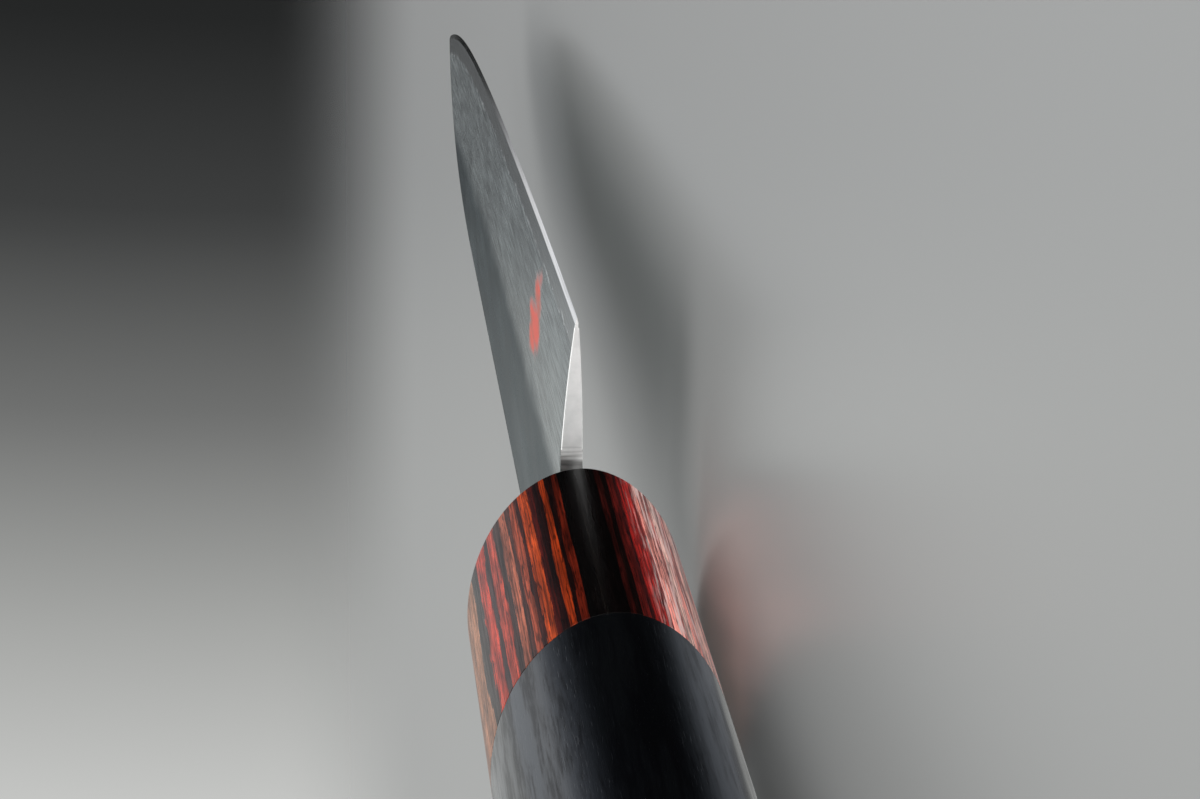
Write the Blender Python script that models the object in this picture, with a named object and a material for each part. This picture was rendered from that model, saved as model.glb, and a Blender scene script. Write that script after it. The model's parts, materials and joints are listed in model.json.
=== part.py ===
"""Petty knife: a forged blade in an oval handle with a laminated wood ferrule.

The knife lies on its side. The tip points to +X, the cutting edge faces -Y, and +Z is the
side that is up. All sizes are in metres. Each piece is shaped about the centre of the
ferrule's front face, or about its own end of the handle, and hangs on one empty that puts
the middle of the knife's footprint at the world's origin.
"""

import math
from enum import IntEnum

import bmesh
import bpy

# Glue line between pieces that touch
GLUE_GAP = 0.0003

# Blade, from the heel to the tip
BLADE_LENGTH = 0.150
BLADE_HEIGHT = 0.0301
TIP_HEIGHT = 0.0110
EDGE_SLOPE_DROP = 0.0102
TIP_BELLY_DROP = 0.0040
TIP_BELLY_POWER = 8.0
SPINE_DROP_LENGTH = 0.052
SPINE_DROP_POWER = 2.4
SPINE_OFFSET = 0.00805
SPINE_THICKNESS = 0.0019
TIP_THICKNESS = 0.0011
SPINE_EASE = 0.0003
GRIND_HEIGHT = 0.0163
GRIND_POWER = 2.0
BEVEL_HEIGHT = 0.00055
BEVEL_THICKNESS = 0.00025

# Neck between the heel and the ferrule, and the tang behind it
NECK_LENGTH = 0.0073
NECK_HEIGHT = 0.0136
HEEL_RADIUS = 0.0050
NECK_SEAT = 0.0040
SPINE_SHOULDER = 0.00355
EDGE_SHOULDER = 0.00105
TANG_LENGTH = 0.090
TANG_END_HEIGHT = 0.0050
TANG_END_THICKNESS = 0.0015

# Handle, from the ferrule's front face to the butt
FERRULE_LENGTH = 0.0260
FERRULE_WALL = 0.0065
BODY_LENGTH = 0.0940
FRONT_WIDTH = 0.0175
FRONT_HEIGHT = 0.02454
BUTT_WIDTH = 0.0187
BUTT_HEIGHT = 0.02622
OVAL_POWER = 1.94
FRONT_EASE = 0.0004
BUTT_ROUNDING = 0.0022

# Resin bedding round the tang, and the slotted dowel that joins ferrule and handle body
BEDDING_WALL = 0.0005
DOWEL_LIP = 0.0004
DOWEL_SOLID_END = 0.0030
DOWEL_EASE = 0.0005

# Fineness of the facets
OVAL_SEGMENTS = 36
DOWEL_SEGMENTS = 48
ROUNDING_STEPS = 6
BLADE_STEPS = 44
TIP_CROWDING = 1.6
HEEL_RADIUS_STEPS = 8

# How far a cutter runs past the face it opens
OVERRUN = 0.001


class Row(IntEnum):
    """Lines of points that run along the blade, counted from the spine to the edge."""

    SPINE = 0
    SPINE_EASE = 1
    TANG_TOP = 2
    TANG_BOTTOM = 5
    CORNER = 7
    BEVEL = 14
    EDGE = 15


# Sizes that follow from those above
HANDLE_LENGTH = FERRULE_LENGTH + GLUE_GAP + BODY_LENGTH
NECK_TOP = SPINE_OFFSET
NECK_BOTTOM = SPINE_OFFSET - NECK_HEIGHT
TANG_TOP = NECK_TOP - SPINE_SHOULDER
TANG_BOTTOM = NECK_BOTTOM + EDGE_SHOULDER
CORNER_HEIGHT = NECK_HEIGHT + HEEL_RADIUS
BEDDING_GROWTH = GLUE_GAP + BEDDING_WALL
BEDDING_HALF_WIDTH = SPINE_THICKNESS / 2 + BEDDING_GROWTH
BEDDING_REACH = max(TANG_TOP, -TANG_BOTTOM) + BEDDING_GROWTH
BEDDING_END = TANG_LENGTH + BEDDING_GROWTH
KERF_HALF_WIDTH = BEDDING_HALF_WIDTH + GLUE_GAP
DOWEL_RADIUS = math.hypot(BEDDING_REACH, BEDDING_HALF_WIDTH) + DOWEL_LIP
BORE_RADIUS = DOWEL_RADIUS + GLUE_GAP
DOWEL_FRONT = FERRULE_WALL + GLUE_GAP
KERF_END = BEDDING_END + GLUE_GAP
DOWEL_END = KERF_END + DOWEL_SOLID_END
BORE_END = DOWEL_END + GLUE_GAP
BODY_FRONT = FERRULE_LENGTH + GLUE_GAP


def clear_scene():
    """Remove what the scene holds."""
    for item in list(bpy.data.objects):
        bpy.data.objects.remove(item, do_unlink=True)


def make_material(name, colour, roughness, metallic=0.0):
    """Make a plain material from one colour and its shine."""
    material = bpy.data.materials.new(name)
    material.use_nodes = True
    shader = material.node_tree.nodes["Principled BSDF"]
    shader.inputs["Base Color"].default_value = (*colour, 1.0)
    shader.inputs["Roughness"].default_value = roughness
    shader.inputs["Metallic"].default_value = metallic
    material.diffuse_color = (*colour, 1.0)
    return material


def object_from(name, shape, parent, place=0.0, material=None, sharp_angle=30.0):
    """Turn a bmesh into an object that sits at a place along the handle's axis."""
    bmesh.ops.recalc_face_normals(shape, faces=shape.faces)
    mesh = bpy.data.meshes.new(name)
    shape.to_mesh(mesh)
    shape.free()
    mesh.shade_smooth()
    mesh.set_sharp_from_angle(angle=math.radians(sharp_angle))
    item = bpy.data.objects.new(name, mesh)
    bpy.context.scene.collection.objects.link(item)
    item.parent = parent
    item.location.x = place
    if material:
        mesh.materials.append(material)
    return item


def cut(item, cutter):
    """Cut one shape out of an object and keep the cutter out of sight."""
    cutter.hide_render = True
    cutter.display_type = "WIRE"
    modifier = item.modifiers.new(cutter.name, "BOOLEAN")
    modifier.operation = "DIFFERENCE"
    modifier.object = cutter


def mix(start, end, share):
    """Value part of the way from start to end."""
    return start + (end - start) * share


def block(low, high):
    """Box between two corners."""
    shape = bmesh.new()
    bmesh.ops.create_cube(shape, size=1.0)
    for vertex in shape.verts:
        vertex.co = [mix(low[k], high[k], vertex.co[k] + 0.5) for k in range(3)]
    return shape


def loft(rings):
    """Skin over rings of points, closed with a flat face at each end."""
    shape = bmesh.new()
    loops = [[shape.verts.new(point) for point in ring] for ring in rings]
    count = len(loops[0])
    for first, second in zip(loops, loops[1:]):
        for k in range(count):
            after = (k + 1) % count
            shape.faces.new((first[k], first[after], second[after], second[k]))
    shape.faces.new(loops[0])
    shape.faces.new(loops[-1])
    return shape


def round_ring(x, radius):
    """Circle across the handle's axis."""
    turns = [2 * math.pi * k / DOWEL_SEGMENTS for k in range(DOWEL_SEGMENTS)]
    return [(x, radius * math.cos(turn), radius * math.sin(turn)) for turn in turns]


def oval_ring(x, behind_face, inset=0.0):
    """Outline of the handle at a distance behind the ferrule's front face."""
    share = behind_face / HANDLE_LENGTH
    half_height = mix(FRONT_HEIGHT, BUTT_HEIGHT, share) / 2 - inset
    half_width = mix(FRONT_WIDTH, BUTT_WIDTH, share) / 2 - inset
    ring = []
    for k in range(OVAL_SEGMENTS):
        turn = 2 * math.pi * k / OVAL_SEGMENTS
        across, up = math.cos(turn), math.sin(turn)
        y = half_height * math.copysign(abs(across) ** (2 / OVAL_POWER), across)
        z = half_width * math.copysign(abs(up) ** (2 / OVAL_POWER), up)
        ring.append((x, y, z))
    return ring


def edge_drop(share):
    """How far the edge has come up towards the spine, at a share of the blade's length."""
    belly = BLADE_HEIGHT - TIP_HEIGHT - EDGE_SLOPE_DROP - TIP_BELLY_DROP
    return EDGE_SLOPE_DROP * share + belly * share ** 2 + TIP_BELLY_DROP * share ** TIP_BELLY_POWER


def spine_drop(share):
    """How far the spine has come down to the tip, at a share of the blade's length."""
    run = BLADE_LENGTH * share - (BLADE_LENGTH - SPINE_DROP_LENGTH)
    return TIP_HEIGHT * (max(run, 0.0) / SPINE_DROP_LENGTH) ** SPINE_DROP_POWER


def blade_thickness(share, above_edge):
    """Thickness of the ground blade at a distance above its edge.

    The cutting bevel is straight. Above it the face bulges outwards as far as the grind
    line, and from there to the spine both faces are flat, thinning only towards the tip.
    """
    if above_edge < BEVEL_HEIGHT:
        return BEVEL_THICKNESS * above_edge / BEVEL_HEIGHT
    full = mix(SPINE_THICKNESS, TIP_THICKNESS, share)
    ground = min((above_edge - BEVEL_HEIGHT) / (GRIND_HEIGHT - BEVEL_HEIGHT), 1.0)
    return mix(BEVEL_THICKNESS, full, 1.0 - (1.0 - ground) ** GRIND_POWER)


def blade_column(share):
    """Points from spine to edge across the blade, each with half the thickness there."""
    x = BLADE_LENGTH * share
    top = SPINE_OFFSET - spine_drop(share)
    edge = SPINE_OFFSET - BLADE_HEIGHT + edge_drop(share)
    height = top - edge
    ease = min(SPINE_EASE, height / 4, blade_thickness(share, height) / 4)
    corner = top - height * CORNER_HEIGHT / BLADE_HEIGHT
    bevel = edge + min(BEVEL_HEIGHT, height / 4)
    flat_steps = Row.CORNER - Row.SPINE_EASE
    grind_steps = Row.BEVEL - Row.CORNER
    levels = [top] + [mix(top - ease, corner, k / flat_steps) for k in range(flat_steps + 1)]
    levels += [mix(corner, bevel, k / grind_steps) for k in range(1, grind_steps + 1)]
    column = [(x, y, blade_thickness(share, y - edge) / 2) for y in levels]
    column[0] = (x, top, column[0][2] - ease)
    column.append((x, edge, 0.0))
    return column


def neck_column(x, bottom, share):
    """Points down the neck, from the heel's own points (share 0) to the plain neck (1)."""
    half = SPINE_THICKNESS / 2
    levels = [NECK_TOP, NECK_TOP - SPINE_EASE]
    tang_steps = Row.TANG_BOTTOM - Row.TANG_TOP
    levels += [mix(TANG_TOP, TANG_BOTTOM, k / tang_steps) for k in range(tang_steps + 1)]
    levels += [NECK_BOTTOM + SPINE_EASE, NECK_BOTTOM]
    halves = [half] * len(levels)
    halves[Row.SPINE] -= SPINE_EASE
    halves[Row.CORNER] -= SPINE_EASE
    reach = (NECK_TOP - bottom) / CORNER_HEIGHT
    column = []
    for row, (_, heel_y, heel_half) in enumerate(blade_column(0.0)[: Row.CORNER + 1]):
        scaled_y = NECK_TOP - (NECK_TOP - heel_y) * reach
        column.append((x, mix(scaled_y, levels[row], share), mix(heel_half, halves[row], share)))
    return column


def tang_column(x):
    """Points down the tang at a place behind the ferrule's front face."""
    top, bottom, half = tang_section(x)
    steps = Row.TANG_BOTTOM - Row.TANG_TOP
    column = [None] * Row.TANG_TOP
    column += [(x, mix(top, bottom, k / steps), half) for k in range(steps + 1)]
    return column


def tang_section(x):
    """Top, bottom and half thickness of the tang at a place along the handle's axis."""
    share = (-x - NECK_SEAT) / (TANG_LENGTH - NECK_SEAT)
    top = mix(TANG_TOP, TANG_END_HEIGHT / 2, share)
    bottom = mix(TANG_BOTTOM, -TANG_END_HEIGHT / 2, share)
    return top, bottom, mix(SPINE_THICKNESS, TANG_END_THICKNESS, share) / 2


def heel_columns():
    """Columns through the hollow radius between the neck's underside and the heel."""
    columns = []
    for step in range(HEEL_RADIUS_STEPS):
        turn = math.pi / 2 * (1 - step / HEEL_RADIUS_STEPS)
        x = NECK_LENGTH - HEEL_RADIUS * (1 - math.cos(turn))
        bottom = NECK_BOTTOM - HEEL_RADIUS * (1 - math.sin(turn))
        columns.append(neck_column(x, bottom, turn / (math.pi / 2)))
    return columns


def blade_faces(columns, spans):
    """Skin of a flat forging from columns of points, each mirrored to both sides.

    spans gives, for each pair of neighbouring columns, the first and last row between
    which there is steel. Where a row has no thickness its two sides share one point.
    """
    shape = bmesh.new()
    points = {}

    def corner(i, row, side):
        x, y, half = columns[i][row]
        z = side * half
        key = (round(x, 8), round(y, 8), round(z, 8))
        if key not in points:
            points[key] = shape.verts.new((x, y, z))
        return points[key]

    def face(*corners):
        distinct = list(dict.fromkeys(corner(*place) for place in corners))
        if len(distinct) > 2:
            shape.faces.new(distinct)

    for i, (first, last) in enumerate(spans):
        for row in range(first, last):
            for side in (1, -1):
                face((i, row, side), (i, row + 1, side), (i + 1, row + 1, side), (i + 1, row, side))
        for row in (first, last):
            face((i, row, 1), (i, row, -1), (i + 1, row, -1), (i + 1, row, 1))
    steel_before = [set()] + [set(range(*span)) for span in spans]
    steel_after = steel_before[1:] + [set()]
    for i, (before, after) in enumerate(zip(steel_before, steel_after)):
        for row in sorted(before ^ after):
            face((i, row, 1), (i, row, -1), (i, row + 1, -1), (i, row + 1, 1))
    return shape


def make_blade(parent):
    """Blade, neck and tang, forged from one laminated bar."""
    steel = make_material("laminated_steel", (0.42, 0.43, 0.43), 0.38, metallic=1.0)
    columns = [tang_column(-TANG_LENGTH)]
    columns.append(neck_column(-NECK_SEAT, NECK_BOTTOM, 1.0))
    spans = [(Row.TANG_TOP, Row.TANG_BOTTOM)]
    for column in heel_columns():
        columns.append(column)
        spans.append((Row.SPINE, Row.CORNER))
    for step in range(BLADE_STEPS + 1):
        share = 1 - (1 - step / BLADE_STEPS) ** TIP_CROWDING
        columns.append([(NECK_LENGTH + x, y, half) for x, y, half in blade_column(share)])
        spans.append((Row.SPINE, Row.EDGE if step > 0 else Row.CORNER))
    shape = blade_faces(columns, spans)
    return object_from("blade", shape, parent, material=steel, sharp_angle=5.0)


def make_ferrule(parent):
    """Oval ferrule: a mouth for the neck, a slot for the tang and a bore for the dowel."""
    laminate = make_material("red_laminate", (0.30, 0.05, 0.025), 0.32)
    rings = [oval_ring(0.0, 0.0, FRONT_EASE), oval_ring(-FRONT_EASE, FRONT_EASE)]
    rings.append(oval_ring(-FERRULE_LENGTH, FERRULE_LENGTH))
    ferrule = object_from("ferrule", loft(rings), parent, material=laminate)
    half = SPINE_THICKNESS / 2 + GLUE_GAP
    mouth = block(
        (-NECK_SEAT - GLUE_GAP, NECK_BOTTOM - GLUE_GAP, -half),
        (OVERRUN, NECK_TOP + GLUE_GAP, half),
    )
    slot = block(
        (-FERRULE_WALL - OVERRUN, TANG_BOTTOM - GLUE_GAP, -half),
        (-NECK_SEAT, TANG_TOP + GLUE_GAP, half),
    )
    bore = loft([round_ring(-FERRULE_WALL, BORE_RADIUS),
                 round_ring(-FERRULE_LENGTH - OVERRUN, BORE_RADIUS)])
    cut(ferrule, object_from("ferrule_mouth_cutter", mouth, parent))
    cut(ferrule, object_from("ferrule_slot_cutter", slot, parent))
    cut(ferrule, object_from("ferrule_bore_cutter", bore, parent))
    return ferrule


def make_handle_body(parent):
    """Oval handle body, rounded at the butt and bored from the front for the dowel."""
    black_wood = make_material("black_wood", (0.012, 0.012, 0.014), 0.42)
    rings = [oval_ring(0.0, BODY_FRONT)]
    for step in range(ROUNDING_STEPS + 1):
        turn = math.pi / 2 * step / ROUNDING_STEPS
        x = -BODY_LENGTH + BUTT_ROUNDING * (1 - math.sin(turn))
        rings.append(oval_ring(x, BODY_FRONT - x, BUTT_ROUNDING * (1 - math.cos(turn))))
    body = object_from("handle_body", loft(rings), parent, -BODY_FRONT, black_wood)
    bore = loft([round_ring(OVERRUN, BORE_RADIUS), round_ring(BODY_FRONT - BORE_END, BORE_RADIUS)])
    cut(body, object_from("body_bore_cutter", bore, parent, -BODY_FRONT))
    return body


def make_dowel(parent):
    """Hardwood dowel through ferrule and handle body, sawn open at the front for the tang."""
    pale_wood = make_material("pale_wood", (0.55, 0.38, 0.20), 0.65)
    length = DOWEL_END - DOWEL_FRONT
    rings = [
        round_ring(0.0, DOWEL_RADIUS - DOWEL_EASE),
        round_ring(-DOWEL_EASE, DOWEL_RADIUS),
        round_ring(DOWEL_EASE - length, DOWEL_RADIUS),
        round_ring(-length, DOWEL_RADIUS - DOWEL_EASE),
    ]
    dowel = object_from("dowel", loft(rings), parent, -DOWEL_FRONT, pale_wood)
    kerf = block(
        (DOWEL_FRONT - KERF_END, -DOWEL_RADIUS - OVERRUN, -KERF_HALF_WIDTH),
        (OVERRUN, DOWEL_RADIUS + OVERRUN, KERF_HALF_WIDTH),
    )
    cut(dowel, object_from("dowel_kerf_cutter", kerf, parent, -DOWEL_FRONT))
    return dowel


def tang_jacket(growth, front, back):
    """Block that follows the tang's taper, larger than the tang by growth all round."""
    rings = []
    for x in (front, back):
        top, bottom, half = tang_section(x)
        top, bottom, half = top + growth, bottom - growth, half + growth
        rings.append([(x, top, half), (x, bottom, half), (x, bottom, -half), (x, top, -half)])
    return loft(rings)


def make_bedding(parent):
    """Resin set round the tang in the dowel's saw cut, open at the front."""
    resin = make_material("cured_resin", (0.50, 0.36, 0.16), 0.25)
    sleeve = tang_jacket(BEDDING_GROWTH, -DOWEL_FRONT, -BEDDING_END)
    bedding = object_from("tang_bedding", sleeve, parent, material=resin)
    pocket = tang_jacket(GLUE_GAP, OVERRUN - DOWEL_FRONT, -TANG_LENGTH - GLUE_GAP)
    cut(bedding, object_from("bedding_cutter", pocket, parent))
    return bedding


def make_knife():
    """Put the knife together with the middle of its footprint at the origin."""
    knife = bpy.data.objects.new("knife", None)
    bpy.context.scene.collection.objects.link(knife)
    lowest = BODY_FRONT + BODY_LENGTH - BUTT_ROUNDING
    deepest = mix(FRONT_WIDTH, BUTT_WIDTH, lowest / HANDLE_LENGTH) / 2
    widest = mix(FRONT_HEIGHT, BUTT_HEIGHT, lowest / HANDLE_LENGTH) / 2
    knife.location = (
        (HANDLE_LENGTH - NECK_LENGTH - BLADE_LENGTH) / 2,
        (BLADE_HEIGHT - SPINE_OFFSET - widest) / 2,
        deepest,
    )
    make_blade(knife)
    make_ferrule(knife)
    make_handle_body(knife)
    make_dowel(knife)
    make_bedding(knife)
    return knife


clear_scene()
make_knife()
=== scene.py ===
"""Looks for the petty knife: each CAD node gets a finely modelled piece or a finish of its own.

All sizes are in metres. Pieces are modelled in the knife's own frame, in which the origin is
the middle of the ferrule's front face, +X points to the tip, -Y to the cutting edge and +Z out
of the side of the blade that faces up. Each is then moved to where the CAD node stands.
"""

import json
import logging
import math
from collections.abc import Callable, Sequence
from dataclasses import dataclass, field
from enum import Enum

import bmesh
import bpy
from mathutils import Matrix, Vector

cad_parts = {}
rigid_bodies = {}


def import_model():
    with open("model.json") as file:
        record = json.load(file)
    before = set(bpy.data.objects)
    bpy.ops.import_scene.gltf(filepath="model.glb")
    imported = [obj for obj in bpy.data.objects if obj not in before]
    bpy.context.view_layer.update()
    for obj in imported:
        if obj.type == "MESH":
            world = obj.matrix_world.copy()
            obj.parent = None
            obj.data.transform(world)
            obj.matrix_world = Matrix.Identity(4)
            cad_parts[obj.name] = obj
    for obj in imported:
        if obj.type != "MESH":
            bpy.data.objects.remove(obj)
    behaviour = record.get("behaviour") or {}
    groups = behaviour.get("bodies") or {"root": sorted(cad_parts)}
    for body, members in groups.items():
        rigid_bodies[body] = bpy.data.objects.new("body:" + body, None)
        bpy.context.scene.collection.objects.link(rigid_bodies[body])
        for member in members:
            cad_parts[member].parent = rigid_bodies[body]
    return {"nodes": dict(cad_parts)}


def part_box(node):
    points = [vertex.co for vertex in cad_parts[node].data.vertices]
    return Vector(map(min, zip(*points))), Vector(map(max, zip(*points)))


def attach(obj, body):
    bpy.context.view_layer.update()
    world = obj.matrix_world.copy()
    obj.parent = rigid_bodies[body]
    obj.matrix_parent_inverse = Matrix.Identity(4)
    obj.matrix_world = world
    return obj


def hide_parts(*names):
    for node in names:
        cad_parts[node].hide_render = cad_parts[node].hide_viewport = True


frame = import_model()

Socket = bpy.types.NodeSocket
# place and sRGB hex colour of each stop on a colour ramp
Stops = Sequence[tuple[float, str]]
# two ends of a measure and what they become, which is zero and one where that is left out
Span = tuple[float, ...]
Point = tuple[float, float, float]
Inputs = dict[str | int, object] | Sequence[object]

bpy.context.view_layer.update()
LOG = logging.getLogger("petty_knife")
MM = 0.001
MERGE = 1e-6
BORE_CORNERS = 64
RIM_ANGLE = 35.0
FACE_WEIGHT = 100
# settings that many nodes share: a blend of two colours, and a span with soft ends
COLOURS = {"out": 2, "data_type": "RGBA"}
SOFT = {"interpolation_type": "SMOOTHSTEP"}


def knife_origin() -> Vector:
    """Find the middle of the ferrule's front face in the row frame."""
    low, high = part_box("ferrule")
    return Vector((high[0], (low[1] + high[1]) / 2, (low[2] + high[2]) / 2))


KNIFE_ORIGIN = knife_origin()


# Small tools for colours and nodes


def linear(hex_code: str) -> tuple[float, float, float, float]:
    """Turn an sRGB hex colour into the linear colour that Blender takes.

    Args:
        hex_code: Six hex digits with a leading hash.

    Returns:
        Red, green, blue and an alpha of one.
    """
    channels = [int(hex_code[k : k + 2], 16) / 255 for k in (1, 3, 5)]
    toe = 0.04045
    return (*[c / 12.92 if c <= toe else ((c + 0.055) / 1.055) ** 2.4 for c in channels], 1.0)


@dataclass
class Nodes:
    """Node tree that is being built, with the coordinates that its patterns lie on."""

    tree: bpy.types.NodeTree
    coordinates: str = "Object"
    place: Socket = field(init=False)

    def __post_init__(self) -> None:
        """Read the coordinates."""
        self.place = self.add("TexCoord", out=self.coordinates)

    def fill(self, node: bpy.types.Node, inputs: Inputs) -> None:
        """Give inputs of a node their values or links.

        Args:
            node: Node to fill.
            inputs: Plain values or outputs, by socket name or number, or in the sockets' order.
        """
        for key, value in inputs.items() if isinstance(inputs, dict) else enumerate(inputs):
            if isinstance(value, Socket):
                self.tree.links.new(value, node.inputs[key])
            else:
                node.inputs[key].default_value = value

    def add(
        self, kind: str, inputs: Inputs = (), out: str | int = 0, stops: Stops = (), **settings: object
    ) -> Socket:
        """Add a node with its settings and links.

        Args:
            kind: Blender's name for the type of node, without the ShaderNode in front.
            inputs: Plain values or outputs, by socket name or number, or in the sockets' order.
            out: Name or number of the wanted output.
            stops: Place from 0 to 1 and sRGB hex colour of each stop, on a colour ramp.
            settings: Properties of the node itself.

        Returns:
            The wanted output.
        """
        node = self.tree.nodes.new("ShaderNode" + kind)
        for name, value in settings.items():
            setattr(node, name, value)
        self.fill(node, inputs)
        if stops:
            ramp = node.color_ramp.elements
            ramp.remove(ramp[-1])
            ramp[0].position, ramp[0].color = stops[0][0], linear(stops[0][1])
            for place, colour in stops[1:]:
                ramp.new(place).color = linear(colour)
        return node.outputs[out]


@dataclass(frozen=True)
class Grain:
    """Noise that may be drawn out along one way.

    Attributes:
        wave: Length of a wave along each axis, in millimetres.
        detail: How many finer octaves it has.
        turn: Degrees that those axes are turned about Z.
        span: Two values of the noise, which stays around one half, and what they become.
        octave_share: How strong each finer octave is beside the one before it.
    """

    wave: Point
    detail: float
    turn: float = 0.0
    span: Span = ()
    octave_share: float = 0.6

    def lay(self, nodes: Nodes) -> Socket:
        """Add its nodes.

        Args:
            nodes: Nodes of the material, with the coordinates that it lies on.

        Returns:
            The noise, stretched onto its span where it has one.
        """
        drawn = nodes.add(
            "Mapping",
            {"Vector": nodes.place, "Rotation": (0.0, 0.0, math.radians(self.turn)),
             "Scale": tuple(length * MM for length in self.wave)},
            vector_type="TEXTURE",
        )
        noise = nodes.add(
            "TexNoise",
            {"Vector": drawn, "Scale": 1.0, "Detail": self.detail, "Roughness": self.octave_share},
        )
        return nodes.add("MapRange", (noise, *self.span)) if self.span else noise


# Small tools for modelling


class Domain(Enum):
    """What an edit-mode selection is made of."""

    VERTEX = "VERT"
    EDGE = "EDGE"
    FACE = "FACE"


def mix_value(start: float, end: float, share: float) -> float:
    """Value part of the way from start to end."""
    return start + (end - start) * share


def select_only(*items: bpy.types.Object) -> None:
    """Select some objects alone.

    Args:
        items: Objects to select. The first one becomes the active one.
    """
    for other in bpy.context.scene.objects:
        other.select_set(other in items)
    bpy.context.view_layer.objects.active = items[0] if items else None


def pick(item: bpy.types.Object, domain: Domain, test: Callable[[object], bool]) -> None:
    """Enter edit mode with just those elements selected that pass a test.

    Args:
        item: Mesh object to edit.
        domain: Whether vertices, edges or faces are picked.
        test: Says of a bmesh vertex, edge or face whether it is wanted.
    """
    select_only(item)
    bpy.ops.object.mode_set(mode="EDIT")
    bpy.ops.mesh.select_mode(type=domain.value)
    bpy.ops.mesh.select_all(action="DESELECT")
    shape = bmesh.from_edit_mesh(item.data)
    elements = {Domain.VERTEX: shape.verts, Domain.EDGE: shape.edges, Domain.FACE: shape.faces}
    for element in [element for element in elements[domain] if test(element)]:
        element.select_set(True)
    bmesh.update_edit_mesh(item.data)


def leave_edit() -> None:
    """Go back to object mode."""
    bpy.ops.object.mode_set(mode="OBJECT")


def clean_shell(item: bpy.types.Object, merge: float = MERGE) -> None:
    """Merge doubled points, drop faces with no area and point all faces outwards.

    Args:
        item: Mesh object that is one closed shell.
        merge: Distance within which points become one.
    """
    pick(item, Domain.VERTEX, lambda vertex: True)
    bpy.ops.mesh.remove_doubles(threshold=merge)
    bpy.ops.mesh.dissolve_degenerate(threshold=merge)
    bpy.ops.mesh.delete_loose()
    bpy.ops.mesh.select_all(action="SELECT")
    bpy.ops.mesh.normals_make_consistent(inside=False)
    leave_edit()


def add_modifier(item: bpy.types.Object, kind: str, **settings: object) -> None:
    """Add a modifier and make it part of the mesh.

    Args:
        item: Mesh object that gets it.
        kind: Blender's name for the type of modifier.
        settings: Properties of the modifier.
    """
    modifier = item.modifiers.new(kind.lower(), kind)
    for name, value in settings.items():
        setattr(modifier, name, value)
    select_only(item)
    bpy.ops.object.modifier_apply(modifier=modifier.name)


def add_box(name: str, low: Point, high: Point) -> bpy.types.Object:
    """Add a box between two corners.

    Args:
        name: Name of the object.
        low: Lowest corner.
        high: Highest corner.

    Returns:
        The box, with its size and place in its mesh.
    """
    bpy.ops.mesh.primitive_cube_add(size=1.0, location=[(a + b) / 2 for a, b in zip(low, high)])
    item = bpy.context.active_object
    item.name = name
    item.scale = [b - a for a, b in zip(low, high)]
    bpy.ops.object.transform_apply(location=True, rotation=True, scale=True)
    return item


def add_rod(name: str, radius: float, front: float, back: float, corners: int) -> bpy.types.Object:
    """Add a cylinder along the handle's axis.

    Args:
        name: Name of the object.
        radius: Its radius.
        front: Where it starts on the X axis.
        back: Where it ends on the X axis.
        corners: How many corners it has round its rim.

    Returns:
        The cylinder, with its turn and place in its mesh.
    """
    bpy.ops.mesh.primitive_cylinder_add(
        vertices=corners, radius=radius, depth=abs(front - back),
        location=((front + back) / 2, 0.0, 0.0), rotation=(0.0, math.pi / 2, 0.0),
    )
    item = bpy.context.active_object
    item.name = name
    bpy.ops.object.transform_apply(location=True, rotation=True, scale=True)
    return item


def smooth_by_angle(item: bpy.types.Object, degrees: float) -> None:
    """Shade an object smooth wherever its faces meet at less than an angle."""
    select_only(item)
    bpy.ops.object.shade_smooth_by_angle(angle=math.radians(degrees))


def hollow_out(item: bpy.types.Object, *cutters: bpy.types.Object) -> None:
    """Cut shapes out of a rod, then let its large faces rule the normals.

    The small rounded rims would bend the shading of the flanks otherwise.

    Args:
        item: Oval rod that loses material.
        cutters: Closed shapes to take out, which are deleted.
    """
    for cutter in cutters:
        add_modifier(item, "BOOLEAN", operation="DIFFERENCE", solver="EXACT", object=cutter)
        bpy.data.objects.remove(cutter, do_unlink=True)
    clean_shell(item)
    smooth_by_angle(item, RIM_ANGLE)
    add_modifier(item, "WEIGHTED_NORMAL", keep_sharp=True, weight=FACE_WEIGHT)


def place_piece(item: bpy.types.Object, node: str) -> None:
    """Move a finished piece into the row frame, hang it on the root body and hide the CAD node it stands for.

    Args:
        item: Piece in the knife's own frame.
        node: CAD node that it replaces.
    """
    select_only(item)
    item.location = KNIFE_ORIGIN
    bpy.ops.object.transform_apply(location=True, rotation=True, scale=True)
    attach(item, "root")
    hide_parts(node)
    LOG.info("%s: %d faces, %d points", item.name, len(item.data.polygons), len(item.data.vertices))


# Finishes


@dataclass(frozen=True)
class Finish:
    """A material under a plain name, whose nodes feed one Principled shader."""

    name: str

    def material(self) -> bpy.types.Material:
        """Make the material.

        Returns:
            The material, with its shader fed.
        """
        material = bpy.data.materials.new(self.name)
        material.use_nodes = True
        nodes = Nodes(material.node_tree)
        nodes.fill(nodes.tree.nodes["Principled BSDF"], self.inputs(nodes))
        return material

    def inputs(self, nodes: Nodes) -> Inputs:
        """Lay the patterns of the finish and say what each input of the shader gets."""
        raise NotImplementedError


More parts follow.
